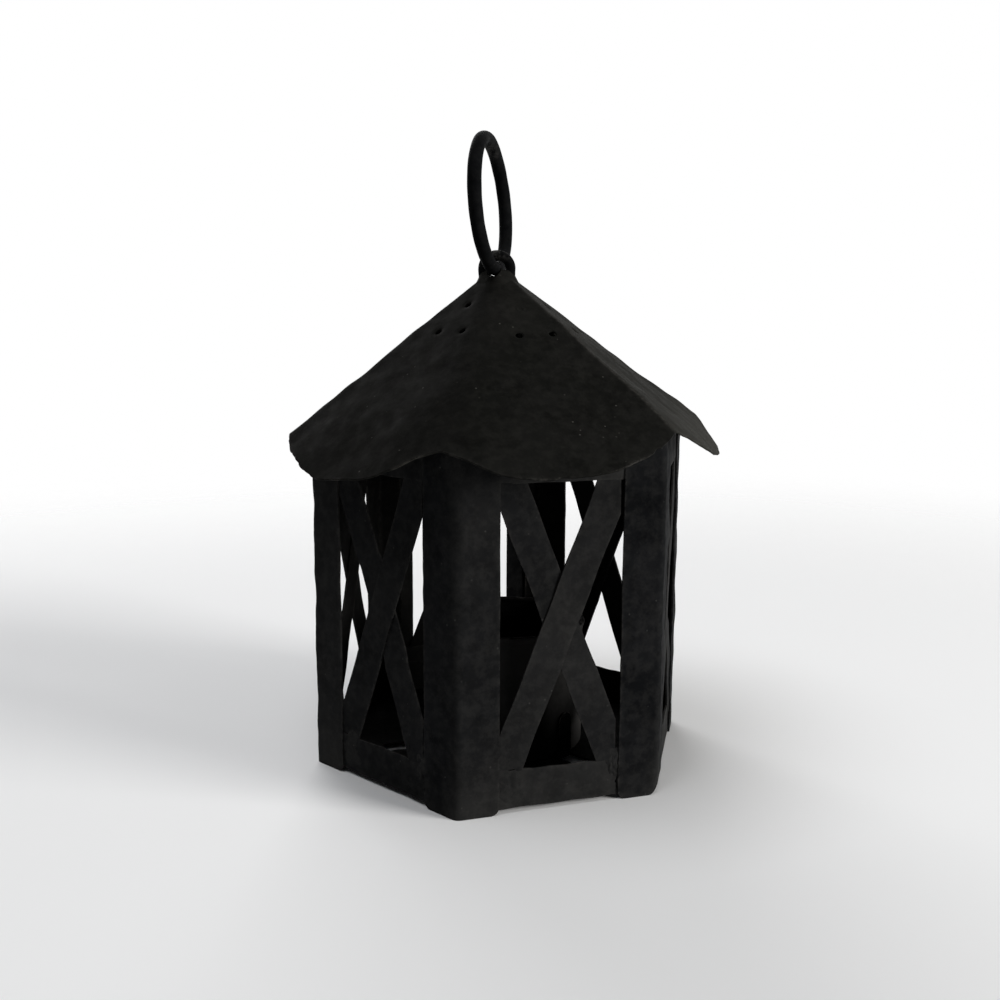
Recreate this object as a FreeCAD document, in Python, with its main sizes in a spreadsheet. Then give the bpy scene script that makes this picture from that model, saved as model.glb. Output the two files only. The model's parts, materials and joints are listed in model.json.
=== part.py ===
import FreeCAD, Part
import os
import Sketcher

# Six-sided tin lantern, in millimetres: +Z up, origin at the middle of its foot, front side facing -Y.

SIZES = [
    ("tin", 0.6, "thickness of the tin sheet"),
    ("corner_radius", 65.0, "axis to the fold of a corner post"),
    ("flange_width", 13.35, "width of a post's flange from its fold"),
    ("hinge_flange", 6.0, "rear flange of the post that carries the door"),
    ("latch_flange", 8.6, "rear flange of the post that carries the latch"),
    ("bend_radius", 3.2, "outer radius of the soft fold of a post"),
    ("foot_corner", 2.6, "rounded lower corner of a flange"),
    ("trim_overrun", 9.3, "height of posts and top rails over the eaves before the roof trims them"),
    ("rail_foot", 1.5, "gap under the bottom rails"),
    ("rail_width", 11.85, "height of a bottom rail"),
    ("top_rail_width", 15.1, "height of a top rail under the roof"),
    ("rail_inset", 3.6, "from a fold to the end of a rail"),
    ("strip_width", 10.4, "width of a diagonal strip"),
    ("strip_lean_angle", 21.4, "lean of a diagonal strip from upright, degrees"),
    ("crossing_height", 57.8, "height of the crossing of the strips"),
    ("strip_gap", 1.0, "open gap between the strips' cut ends and the next flange"),
    ("joggle_run", 4.0, "length over which a back strip bends inwards"),
    ("joggle_margin", 0.8, "flat length of a back strip past the crossing"),
    ("floor_rise", 1.5, "underside of the floor plate"),
    ("cup_radius", 27.0, "outer radius of the candle cup"),
    ("cup_height", 42.0, "height of the candle cup"),
    ("cup_rim_radius", 0.9, "radius of the rolled rim of the cup"),
    ("tongue_width", 6.0, "width of a tongue that holds the cup"),
    ("tongue_height", 15.0, "height of a tongue above the floor"),
    ("tongue_gap", 0.1, "gap between a tongue and the cup"),
    ("roof_pitch_angle", 40.3, "slope of a roof facet, degrees"),
    ("apex_height", 163.2, "height of the roof's point over the foot"),
    ("lean_height", 115.4, "height about which the roof leans"),
    ("roof_lean_angle", 2.8, "lean of the roof towards the rear left post, degrees"),
    ("roof_turn_angle", -1.5, "turn of the roof about its own axis, degrees"),
    ("roof_shift_x", -1.3, "sideways offset of the roof"),
    ("roof_shift_y", 0.4, "front to back offset of the roof"),
    ("notch_radius", 70.35, "roof axis to a notch between two lobes"),
    ("lobe_radius", 74.0, "roof axis to the lowest point of a lobe"),
    ("apex_hole", 6.1, "radius of the hole in the roof's point"),
    ("vent_radius", 1.2, "radius of a punched hole"),
    ("vent_high", 21.4, "slant distance from the point to the upper hole"),
    ("vent_low", 34.3, "slant distance from the point to the lower holes"),
    ("vent_spread", 5.4, "half the distance between the lower holes"),
    ("vent_step", 1.7, "upper hole to the middle of the lower holes, sideways"),
    ("vent_side", 2.4, "middle of the lower holes to the middle of a facet"),
    ("vent_side_front", 4.1, "the same on the front facet"),
    ("vent_side_left", 3.1, "the same on the front left facet"),
    ("vent_slip", 0.0, "drift of a facet's holes down the slope"),
    ("vent_slip_front", 1.6, "the same on the front facet"),
    ("vent_slip_left", -1.7, "the same on the front left facet"),
    ("eye_wire", 1.4, "radius of the eye's wire"),
    ("eye_radius", 4.6, "radius of the eye's arch, to the wire's centre"),
    ("eye_drop", 1.45, "centre of the arch under the roof's point"),
    ("eye_bend", 3.0, "bend radius of the eye's legs"),
    ("eye_foot", 10.0, "length of a foot of the eye under the roof"),
    ("eye_seat_gap", 0.1, "gap between a foot of the eye and the roof"),
    ("ring_wire", 2.25, "radius of the ring's wire"),
    ("ring_radius", 20.4, "radius of the ring, to the wire's centre"),
    ("ring_turn_angle", 59.2, "direction of the ring's plane, seen from above, degrees"),
    ("ring_shift", 0.6, "sideways offset of the ring in its eye"),
    ("ring_lift", 0.4, "height of the ring's wire over the centre of the arch"),
    ("ring_tip_angle", 1.2, "lean of the ring in its eye, degrees"),
    ("lintel_width", 22.7, "height of the rail over the door"),
    ("door_lap", 3.0, "overlap of the door on the sill and the lintel"),
    ("door_latch_lap", 2.2, "overlap of the door on the latch flange"),
    ("door_gap", 0.3, "gap between the door and the fixed tin"),
    ("door_side_gap", 0.4, "side gap between the door's inner layer and the flanges"),
    ("door_rail", 9.0, "height of a door rail"),
    ("pin_radius", 0.8, "radius of the hinge wire"),
    ("pin_fit", 0.05, "running gap round the hinge wire"),
    ("hinge_offset", 3.5, "fold of the post to the hinge axis"),
    ("lug_height", 5.0, "height of a hinge lug"),
    ("lug_gap", 0.4, "gap between a lug and the rolled edge"),
    ("lug_foot", 1.8, "reach of a lug's foot to each side of the axis"),
    ("stile_cut", 0.35, "gap between the door stile and a lug's foot"),
    ("latch_height", 54.0, "height of the latch"),
    ("rivet_radius", 1.2, "radius of the latch rivet"),
    ("rivet_collar", 1.9, "radius of the rivet's collar and head"),
    ("rivet_head", 0.8, "thickness of the rivet's head"),
    ("button_inset", 3.75, "fold of the post to the latch's axis"),
    ("button_width", 4.0, "width of the turn button"),
    ("button_length", 13.0, "length of the turn button"),
    ("button_fit", 0.05, "running gap round the rivet"),
    ("button_gap", 0.3, "gap between the button and its neighbours"),
]

SIDES = ["front", "front_right", "rear_right", "rear", "rear_left", "front_left"]
POSTS = ["front_left", "front_right", "right", "rear_right", "rear_left", "left"]
REAR = SIDES.index("rear")

doc = FreeCAD.newDocument("tin_lantern")
sizes = doc.addObject("Spreadsheet::Sheet", "sizes")
for row, (name, value, note) in enumerate(SIZES, start=1):
    sizes.set(f"A{row}", note)
    sizes.set(f"B{row}", str(value))
    sizes.setAlias(f"B{row}", name)
doc.recompute()

# Formulas in the named sizes, shared by the pieces.
APOTHEM = "sizes.corner_radius * cos(30)"
HALF_SIDE = "sizes.corner_radius * sin(30)"
RAIL_TOP = "(sizes.rail_foot + sizes.rail_width)"
FLOOR_TOP = "(sizes.floor_rise + sizes.tin)"
HALF_STRIP = "(sizes.strip_width / 2 / cos(sizes.strip_lean_angle))"
STRIP_END = f"({HALF_SIDE} - sizes.flange_width - sizes.strip_gap)"
HALF_CROSSING = ("(sizes.strip_width / 2 * (1 / sin(2 * sizes.strip_lean_angle)"
                 " + 1 / tan(2 * sizes.strip_lean_angle)) + sizes.joggle_margin)")
ROOF_DROP = "(sizes.tin / cos(sizes.roof_pitch_angle))"
EAVES = f"(sizes.apex_height - {APOTHEM} * tan(sizes.roof_pitch_angle) - {ROOF_DROP})"
BLANK_TOP = f"({EAVES} + sizes.trim_overrun)"
TOP_RAIL_FOOT = f"({EAVES} - sizes.top_rail_width)"
LINTEL_FOOT = f"({EAVES} - sizes.lintel_width)"
DOOR_TOP = f"({LINTEL_FOOT} + sizes.door_lap)"
DOOR_FOOT = f"({RAIL_TOP} - sizes.door_lap)"
ROLL_RADIUS = "(sizes.pin_radius + sizes.pin_fit + sizes.tin)"
HINGE_X = f"({HALF_SIDE} - sizes.hinge_offset)"
HINGE_Y = f"({APOTHEM} + sizes.door_gap + {ROLL_RADIUS})"
DOOR_LATCH_X = f"({HALF_SIDE} - sizes.latch_flange + sizes.door_latch_lap)"
STILE_INNER = f"({HALF_SIDE} - sizes.flange_width)"
BUTTON_X = f"({HALF_SIDE} - sizes.button_inset)"
PANEL = (f"-({APOTHEM} - sizes.tin)", f"-({APOTHEM} - 2 * sizes.tin)")
DOOR_SKIN = (f"-({APOTHEM} + sizes.door_gap + sizes.tin)", f"-({APOTHEM} + sizes.door_gap)")
DOOR_LINING = (f"-({APOTHEM} + sizes.door_gap)", f"-({APOTHEM} + sizes.door_gap - sizes.tin)")


def number(formula):
    """The value of a formula in the named sizes."""
    return float(sizes.evalExpression(formula))


def turned(degrees):
    """A placement turned about the lantern's axis."""
    return FreeCAD.Placement(FreeCAD.Vector(), FreeCAD.Rotation(FreeCAD.Vector(0, 0, 1), degrees))


def shifted(x=0, y=0, z=0):
    """A placement moved without turning."""
    return FreeCAD.Placement(FreeCAD.Vector(x, y, z), FreeCAD.Rotation())


def tipped(degrees, axis="x"):
    """A placement turned about X or Y."""
    line = FreeCAD.Vector(1, 0, 0) if axis == "x" else FreeCAD.Vector(0, 1, 0)
    return FreeCAD.Placement(FreeCAD.Vector(), FreeCAD.Rotation(line, degrees))


def bind(item, **formulas):
    """Tie properties of an object to formulas in the named sizes."""
    for key, formula in formulas.items():
        item.setExpression(key, formula)
    return item


def primitive(kind, name, placement, **formulas):
    """A Part primitive whose sizes are formulas."""
    item = bind(doc.addObject(f"Part::{kind}", name), **formulas)
    item.Placement = placement
    return item


def box(name, x, y, z, turn=0):
    """A box between pairs of formulas along X, Y and Z, turned about the lantern's axis."""
    corner = [number(pair[0]) for pair in (x, y, z)]
    spans = [f"({high}) - ({low})" for low, high in (x, y, z)]
    return primitive("Box", name, turned(turn) * shifted(*corner),
                     Length=spans[0], Width=spans[1], Height=spans[2])


def joined(kind, name, base, tool):
    """A boolean of two objects: Cut, Common or Fuse."""
    item = doc.addObject(f"Part::{kind}", name)
    item.Base = base
    item.Tool = tool
    return item


def fused(name, pieces):
    """One solid from several that share material."""
    item = doc.addObject("Part::MultiFuse", name)
    item.Shapes = pieces
    item.Refine = True
    return item


def new_body(name, placement=None):
    item = doc.addObject("PartDesign::Body", name)
    if placement:
        item.Placement = placement
    return item


def new_sketch(body, name, role, offset=None):
    """A sketch on one of the body's own origin planes."""
    sketch = body.newObject("Sketcher::SketchObject", name)
    plane = [item for item in body.Origin.OriginFeatures if item.Role == role][0]
    sketch.AttachmentSupport = (plane, [""])
    sketch.MapMode = "FlatFace"
    if offset:
        sketch.AttachmentOffset = offset
    return sketch


def pin_point(sketch, line, end, corner):
    """Fix one end of a line across and up, each by a formula or not at all."""
    for direction, formula in zip(("DistanceX", "DistanceY"), corner):
        if formula is not None:
            index = sketch.addConstraint(Sketcher.Constraint(direction, -1, 1, line, end, number(formula)))
            sketch.setExpression(f"Constraints[{index}]", formula)


def bind_radius(sketch, curve, formula):
    """Give an arc or a circle a radius from a formula."""
    index = sketch.addConstraint(Sketcher.Constraint("Radius", curve, number(formula)))
    sketch.setExpression(f"Constraints[{index}]", formula)


def outline(sketch, corners):
    """A closed polygon whose corners are pairs of formulas."""
    points = [FreeCAD.Vector(number(x), number(y), 0) for x, y in corners]
    count = len(points)
    for place, point in enumerate(points):
        sketch.addGeometry(Part.LineSegment(point, points[(place + 1) % count]))
    for place, corner in enumerate(corners):
        sketch.addConstraint(Sketcher.Constraint("Coincident", place, 2, (place + 1) % count, 1))
        pin_point(sketch, place, 1, corner)
    return sketch


def pad(body, name, sketch, length, reverse=False, both=False):
    feature = body.newObject("PartDesign::Pad", name)
    feature.Profile = sketch
    feature.setExpression("Length", length)
    feature.Reversed = reverse
    feature.Midplane = both
    return feature


def pocket(body, name, sketch, length):
    feature = body.newObject("PartDesign::Pocket", name)
    feature.Profile = sketch
    feature.setExpression("Length", length)
    return feature


def circle_at(sketch, centre, radius):
    """A circle whose centre and radius are formulas."""
    middle = FreeCAD.Vector(number(centre[0]), number(centre[1]), 0)
    circle = sketch.addGeometry(Part.Circle(middle, FreeCAD.Vector(0, 0, 1), number(radius)))
    pin_point(sketch, circle, 3, centre)
    bind_radius(sketch, circle, radius)


def rod(name, x, y, z, radius, length, turn):
    """A round rod that runs outwards from a side, from the formula y."""
    place = turned(turn) * shifted(number(x), number(y), number(z)) * tipped(90)
    return primitive("Cylinder", name, place, Radius=radius, Height=length)


def upright(name, x, y, low, high, radius, turn):
    """A round rod along Z between two formulas."""
    place = turned(turn) * shifted(number(x), number(y), number(low))
    return primitive("Cylinder", name, place, Radius=radius, Height=f"({high}) - ({low})")


def plate(name, corners, near, thickness, turn=0):
    """A flat plate upright on the front side: corners across and up, near its outer face's Y."""
    body = new_body(name, turned(turn))
    sketch = outline(new_sketch(body, f"{name}_outline", "XZ_Plane", shifted(z=-number(near))), corners)
    sketch.setExpression("AttachmentOffset.Base.z", f"-({near})")
    pad(body, f"{name}_pad", sketch, thickness, reverse=True)
    return body


# The roof leans a little towards the rear left post, and the eye and the ring lean with it.
LEAN = shifted(number("sizes.roof_shift_x"), number("sizes.roof_shift_y"), number("sizes.lean_height"))
LEAN = LEAN * turned(120) * tipped(number("sizes.roof_lean_angle"), "y") * turned(-120)
LEAN = LEAN * shifted(z=number("sizes.apex_height - sizes.lean_height"))


def roof_hollow():
    """The space under the roof, which trims the tops of the posts and the top rails."""
    reach = "(sizes.apex_height + sizes.corner_radius / 4)"
    base = bind(doc.addObject("Part::RegularPolygon", "roof_hollow_foot"),
                Circumradius=f"({reach} - {ROOF_DROP}) / tan(sizes.roof_pitch_angle) / cos(30)")
    base.Polygon = len(SIDES)
    base.Placement = LEAN * turned(number("sizes.roof_turn_angle")) * shifted(z=-number(reach))
    solid = doc.addObject("Part::Extrusion", "roof_hollow")
    solid.Base = base
    solid.DirMode = "Custom"
    solid.Dir = LEAN.Rotation.multVec(FreeCAD.Vector(0, 0, 1))
    solid.Solid = True
    return bind(solid, LengthFwd=f"{reach} - 2 * sizes.apex_hole", TaperAngle="sizes.roof_pitch_angle - 90")


def post_profile(body, name, left, right):
    """The section of a corner post: two flanges and a soft fold that points to -Y."""
    sketch = new_sketch(body, name, "XY_Plane")
    centre_y = "-(sizes.corner_radius - sizes.bend_radius / cos(30))"
    middle = FreeCAD.Vector(0, number(centre_y), 0)
    lengths = [f"{width} - sizes.bend_radius * tan(30)" for width in (right, left)]
    bend = number("sizes.bend_radius")
    tin = number("sizes.tin")
    across = [FreeCAD.Vector(side * number("cos(30)"), number("sin(30)"), 0) for side in (1, -1)]
    normal = [FreeCAD.Vector(side * number("sin(30)"), -number("cos(30)"), 0) for side in (1, -1)]
    lines = []
    for way, out, length in zip(across, normal, lengths):
        start = middle + out * bend
        inner = middle + out * (bend - tin)
        run = way * number(length)
        outer_line = sketch.addGeometry(Part.LineSegment(start, start + run))
        end_line = sketch.addGeometry(Part.LineSegment(start + run, inner + run))
        inner_line = sketch.addGeometry(Part.LineSegment(inner + run, inner))
        sketch.addConstraint(Sketcher.Constraint("Coincident", outer_line, 2, end_line, 1))
        sketch.addConstraint(Sketcher.Constraint("Coincident", end_line, 2, inner_line, 1))
        sketch.addConstraint(Sketcher.Constraint("Perpendicular", outer_line, end_line))
        size = sketch.addConstraint(Sketcher.Constraint("Distance", outer_line, number(length)))
        sketch.setExpression(f"Constraints[{size}]", length)
        lines.append((outer_line, inner_line))
    start_angle = number("-120 * pi / 180")
    end_angle = number("-60 * pi / 180")
    arcs = []
    for radius in ("sizes.bend_radius", "sizes.bend_radius - sizes.tin"):
        circle = Part.Circle(middle, FreeCAD.Vector(0, 0, 1), number(radius))
        arc = sketch.addGeometry(Part.ArcOfCircle(circle, start_angle, end_angle))
        bind_radius(sketch, arc, radius)
        arcs.append(arc)
    sketch.addConstraint(Sketcher.Constraint("Coincident", arcs[0], 3, arcs[1], 3))
    for side, end in ((0, 2), (1, 1)):
        sketch.addConstraint(Sketcher.Constraint("Tangent", lines[side][0], 1, arcs[0], end))
        sketch.addConstraint(Sketcher.Constraint("Tangent", lines[side][1], 2, arcs[1], end))
    pin_point(sketch, arcs[0], 3, ("0", centre_y))
    for side, angle in ((0, "30"), (1, "150")):
        slope = Sketcher.Constraint("Angle", lines[side][0], number(f"{angle} * pi / 180"))
        sketch.setExpression(f"Constraints[{sketch.addConstraint(slope)}]", f"{angle} * 1 deg")
    return sketch


def foot_corner_edges(solid, left, right):
    """The short edges at the lower outer corners of the two flanges."""
    found = []
    for place, edge in enumerate(solid.Edges, start=1):
        ends = [vertex.Point for vertex in edge.Vertexes]
        if len(ends) == 2 and max(abs(point.z) for point in ends) < number("sizes.tin / 10"):
            reach = [point.x for point in ends]
            far = max(abs(x) for x in reach) / number("cos(30)")
            width = number(right if sum(reach) > 0 else left)
            across_sheet = abs(edge.Length - number("sizes.tin")) < number("sizes.tin / 10")
            if across_sheet and far > width * number("1 / 2"):
                found.append(f"Edge{place}")
    return found


def corner_post(place, hollow, suffix=""):
    """A folded angle of tin, rounded at its feet and trimmed under the roof."""
    name = f"{POSTS[place]}_post{suffix}"
    left = "sizes.latch_flange" if place == REAR + 1 else "sizes.flange_width"
    right = "sizes.hinge_flange" if place == REAR else "sizes.flange_width"
    body = new_body(f"{name}_blank", turned(60 * place - 30))
    blank = pad(body, f"{name}_length", post_profile(body, f"{name}_section", left, right), BLANK_TOP)
    doc.recompute()
    corners = body.newObject("PartDesign::Fillet", f"{name}_feet")
    corners.Base = (blank, foot_corner_edges(blank.Shape, left, right))
    corners.setExpression("Radius", "sizes.foot_corner")
    body.Tip = corners
    return joined("Common", name, body, hollow)


def drilled_post(name, post):
    """The latch post with the hole for its rivet."""
    hole = rod(f"{name}_rivet_hole", BUTTON_X, f"-({APOTHEM} - 2 * sizes.tin)", "sizes.latch_height",
               "sizes.rivet_radius", "3 * sizes.tin", 60 * REAR)
    return joined("Cut", name, post, hole)


def rails(hollow):
    """The bottom and top rails of the six sides; the rear pair is the sill and the lintel of the door."""
    made = []
    across = (f"-({HALF_SIDE} - sizes.rail_inset)", f"{HALF_SIDE} - sizes.rail_inset")
    for place, side in enumerate(SIDES):
        made.append(box(f"{side}_bottom_rail", across, PANEL, ("sizes.rail_foot", RAIL_TOP), 60 * place))
        low = LINTEL_FOOT if place == REAR else TOP_RAIL_FOOT
        blank = box(f"{side}_top_rail_blank", across, PANEL, (low, BLANK_TOP), 60 * place)
        made.append(joined("Common", f"{side}_top_rail", blank, hollow))
    return made


def strip_edge(lean, height, edge):
    """Where an edge of a diagonal strip stands at a height: lean and edge are + or -."""
    return f"{lean}tan(sizes.strip_lean_angle) * (({height}) - sizes.crossing_height) {edge} {HALF_STRIP}"


def strip_corners(lean, foot, top):
    """The outline of a diagonal strip between a foot and a top."""
    return [(strip_edge(lean, foot, "-"), foot), (strip_edge(lean, foot, "+"), foot),
            (strip_edge(lean, top, "+"), top), (strip_edge(lean, top, "-"), top)]


def diagonals(side, near, foot, top, end, turn):
    """Two crossed strips, cut off upright at an end: the back one bends inwards where it passes behind."""
    deep = "3 * sizes.tin"
    panel = box(f"{side}_strip_panel", (f"-{HALF_SIDE}", end), (near, f"{near} + {deep}"), (foot, top), turn)
    front = plate(f"{side}_front_strip_outline", strip_corners("", foot, top), near, "sizes.tin", turn)
    trim = plate(f"{side}_back_strip_outline", strip_corners("-", foot, top), near, deep, turn)
    lean = shifted(y=number(near), z=number("sizes.crossing_height"))
    lean = lean * tipped(-number("sizes.strip_lean_angle"), "y")
    bent = new_body(f"{side}_back_strip_bend", turned(turn) * lean)
    flat = HALF_CROSSING
    ramp = f"{HALF_CROSSING} + sizes.joggle_run"
    outer = [("0", f"-{top}"), ("0", f"-({ramp})"), ("sizes.tin", f"-{flat}"),
             ("sizes.tin", flat), ("0", ramp), ("0", top)]
    inner = [(f"{across} + sizes.tin", along) for across, along in reversed(outer)]
    sketch = outline(new_sketch(bent, f"{side}_back_strip_profile", "YZ_Plane"), outer + inner)
    pad(bent, f"{side}_back_strip_width", sketch, "3 * sizes.strip_width", both=True)
    blank = joined("Common", f"{side}_back_strip_blank", bent, trim)
    return [joined("Common", f"{side}_front_strip", front, panel),
            joined("Common", f"{side}_back_strip", blank, panel)]


def candle_cup():
    """A plain round cup with a rolled rim, standing on the floor plate."""
    body = new_body("candle_cup_shell")
    rim = f"{FLOOR_TOP} + sizes.cup_height"
    inside = "sizes.cup_radius - sizes.tin"
    section = [("0", FLOOR_TOP), ("sizes.cup_radius", FLOOR_TOP), ("sizes.cup_radius", rim),
               (inside, rim), (inside, f"{FLOOR_TOP} + sizes.tin"), ("0", f"{FLOOR_TOP} + sizes.tin")]
    sketch = outline(new_sketch(body, "candle_cup_section", "XZ_Plane"), section)
    wall = body.newObject("PartDesign::Revolution", "candle_cup_wall")
    wall.Profile = sketch
    wall.ReferenceAxis = (sketch, ["V_Axis"])
    wall.Angle = 360
    roll = primitive("Torus", "candle_cup_roll", shifted(z=number(rim)),
                     Radius1="sizes.cup_radius - sizes.tin / 2", Radius2="sizes.cup_rim_radius")
    return fused("candle_cup", [body, roll])


def floor_plate():
    """The hexagonal floor, with three tongues cut from it and bent up round the cup."""
    plain = primitive("Prism", "floor_plate_blank", shifted(z=number("sizes.floor_rise")),
                      Circumradius=f"({APOTHEM} - 2 * sizes.tin) / cos(30)", Height="sizes.tin")
    plain.Polygon = len(SIDES)
    inner = "sizes.cup_radius + sizes.tongue_gap"
    half = "sizes.tongue_width / 2"
    shoulder = f"{FLOOR_TOP} + sizes.tongue_height - {half}"
    tongues = []
    slots = []
    for count, turn in enumerate((-60, 60, 180), start=1):
        name = f"floor_tongue_{count}"
        blade = box(f"{name}_blade", (inner, f"{inner} + sizes.tin"), (f"-({half})", half),
                    ("sizes.floor_rise", shoulder), turn)
        place = turned(turn) * shifted(number(inner), 0, number(shoulder)) * tipped(90, "y")
        tongues += [blade, primitive("Cylinder", f"{name}_tip", place, Radius=half, Height="sizes.tin")]
        slots.append(box(f"{name}_slot", (f"{inner} + sizes.tin", f"{inner} + sizes.tongue_height"),
                         (f"-({half})", half), ("0", f"2 * {FLOOR_TOP}"), turn))
    slotted = joined("Cut", "floor_plate_slotted", plain, fused("floor_slots", slots))
    return fused("floor_plate", [slotted] + tongues)


def roof():
    """One folded sheet: six facets with round lobes, punched vents and a hole at the point."""
    whole = LEAN * turned(number("sizes.roof_turn_angle"))
    body = new_body("roof_facets_sheet", whole)
    tilt = tipped(number("sizes.roof_pitch_angle"))
    half_chord = "(sizes.notch_radius * sin(30))"
    notch = "(sizes.notch_radius * cos(30) / cos(sizes.roof_pitch_angle))"
    tip = "(sizes.lobe_radius / cos(sizes.roof_pitch_angle))"
    bulge = f"({tip} - {notch})"
    arc_radius = f"({half_chord} ^ 2 + {bulge} ^ 2) / (2 * {bulge})"
    sketch = new_sketch(body, "roof_facet_outline", "XY_Plane", tilt)
    sketch.setExpression("AttachmentOffset.Rotation.Angle", "sizes.roof_pitch_angle * 1 deg")
    point = FreeCAD.Vector()
    right = FreeCAD.Vector(number(half_chord), -number(notch), 0)
    left = FreeCAD.Vector(-right.x, right.y, 0)
    low = FreeCAD.Vector(0, -number(tip), 0)
    sketch.addGeometry(Part.LineSegment(point, right))
    sketch.addGeometry(Part.LineSegment(left, point))
    sketch.addGeometry(Part.Arc(left, low, right))
    for first, first_end, second, second_end in ((0, 2, 2, 2), (1, 1, 2, 1), (0, 1, 1, 2)):
        sketch.addConstraint(Sketcher.Constraint("Coincident", first, first_end, second, second_end))
    pin_point(sketch, 0, 1, ("0", "0"))
    pin_point(sketch, 0, 2, (half_chord, f"-{notch}"))
    pin_point(sketch, 1, 1, (f"-{half_chord}", f"-{notch}"))
    bind_radius(sketch, 2, arc_radius)
    facet = pad(body, "roof_facet", sketch, "sizes.tin", reverse=True)
    pattern = body.newObject("PartDesign::PolarPattern", "roof_facets")
    pattern.Originals = [facet]
    pattern.Axis = ([item for item in body.Origin.OriginFeatures if item.Role == "Z_Axis"][0], [""])
    pattern.Angle = 360
    pattern.Occurrences = len(SIDES)
    body.Tip = pattern
    mouth = new_sketch(body, "roof_point_hole", "XY_Plane")
    circle_at(mouth, ("0", "0"), "sizes.apex_hole")
    body.Tip = pocket(body, "roof_point", mouth, "2 * sizes.apex_hole")
    punches = []
    for place, side in enumerate(SIDES):
        ending = {"front": "_front", "front_left": "_left"}.get(side, "")
        middle = f"sizes.vent_side{ending}"
        slip = f"sizes.vent_slip{ending}"
        for name, across, down in (("high", f"{middle} - sizes.vent_step", f"sizes.vent_high + {slip}"),
                                   ("left", f"{middle} - sizes.vent_spread", f"sizes.vent_low + {slip}"),
                                   ("right", f"{middle} + sizes.vent_spread", f"sizes.vent_low + {slip}")):
            seat = whole * turned(60 * place) * tilt
            seat = seat * shifted(number(across), -number(down), -number("2 * sizes.tin"))
            punches.append(primitive("Cylinder", f"roof_vent_{side}_{name}", seat,
                                     Radius="sizes.vent_radius", Height="4 * sizes.tin"))
    holes = doc.addObject("Part::MultiFuse", "roof_vents")
    holes.Shapes = punches
    return joined("Cut", "roof", body, holes)


def hanging_eye():
    """Bent wire: an arch over the roof's point, with two feet splayed under the facets."""
    body = new_body("hanging_eye", LEAN * turned(150 + number("sizes.roof_turn_angle")))
    arch = "sizes.eye_radius"
    crown = f"({arch} - sizes.eye_drop)"
    turn_half = "((90 - sizes.roof_pitch_angle) / 2)"
    knee = (f"(-{arch} * tan(sizes.roof_pitch_angle) - (sizes.tin + sizes.eye_wire + sizes.eye_seat_gap)"
            f" / cos(sizes.roof_pitch_angle) + sizes.eye_bend * tan({turn_half}))")
    bend_x = f"({arch} + sizes.eye_bend)"
    foot_x = f"({bend_x} - sizes.eye_bend * sin(sizes.roof_pitch_angle))"
    foot_y = f"({knee} - sizes.eye_bend * cos(sizes.roof_pitch_angle))"
    toe = (f"{foot_x} + sizes.eye_foot * cos(sizes.roof_pitch_angle)",
           f"{foot_y} - sizes.eye_foot * sin(sizes.roof_pitch_angle)")
    spine = new_sketch(body, "hanging_eye_path", "XZ_Plane")
    top = FreeCAD.Vector(0, number(crown), 0)
    side = FreeCAD.Vector(number(arch), -number("sizes.eye_drop"), 0)
    half_root = number("sqrt(1 / 2)")
    mid = FreeCAD.Vector(number(arch) * half_root, number(arch) * half_root - number("sizes.eye_drop"), 0)
    leg = FreeCAD.Vector(number(arch), number(knee), 0)
    bend = FreeCAD.Vector(number(foot_x), number(foot_y), 0)
    centre = FreeCAD.Vector(number(bend_x), number(knee), 0)
    out = (leg + bend).multiply(number("1 / 2")) - centre
    bend_mid = centre + out.normalize().multiply(number("sizes.eye_bend"))
    end = FreeCAD.Vector(number(toe[0]), number(toe[1]), 0)
    spine.addGeometry(Part.Arc(side, mid, top))
    spine.addGeometry(Part.LineSegment(side, leg))
    spine.addGeometry(Part.Arc(leg, bend_mid, bend))
    spine.addGeometry(Part.LineSegment(bend, end))
    for first, first_end, second, second_end in ((0, 1, 1, 1), (1, 2, 2, 1), (2, 2, 3, 1)):
        spine.addConstraint(Sketcher.Constraint("Coincident", first, first_end, second, second_end))
    pin_point(spine, 0, 3, ("0", "-sizes.eye_drop"))
    pin_point(spine, 0, 2, ("0", None))
    pin_point(spine, 0, 1, (None, "-sizes.eye_drop"))
    bind_radius(spine, 0, arch)
    pin_point(spine, 1, 2, (arch, knee))
    bind_radius(spine, 2, "sizes.eye_bend")
    pin_point(spine, 3, 1, (foot_x, foot_y))
    pin_point(spine, 3, 2, toe)
    profile = new_sketch(body, "hanging_eye_wire", "YZ_Plane")
    circle_at(profile, ("0", crown), "sizes.eye_wire")
    pipe = body.newObject("PartDesign::AdditivePipe", "hanging_eye_half")
    pipe.Profile = profile
    pipe.Spine = (spine, ["Edge1", "Edge2", "Edge3", "Edge4"])
    both = body.newObject("PartDesign::Mirrored", "hanging_eye_both")
    both.Originals = [pipe]
    both.MirrorPlane = ([item for item in body.Origin.OriginFeatures if item.Role == "YZ_Plane"][0], [""])
    body.Tip = both
    return body


def hanging_ring():
    """A closed ring of round wire, standing in the eye along the roof's axis."""
    foot = shifted(y=number("sizes.ring_shift"), z=number("sizes.ring_lift - sizes.eye_drop"))
    place = LEAN * turned(number("sizes.ring_turn_angle")) * foot * tipped(-number("sizes.ring_tip_angle"))
    place = place * shifted(z=number("sizes.ring_radius")) * tipped(90)
    return primitive("Torus", "hanging_ring", place, Radius1="sizes.ring_radius", Radius2="sizes.ring_wire")


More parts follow.
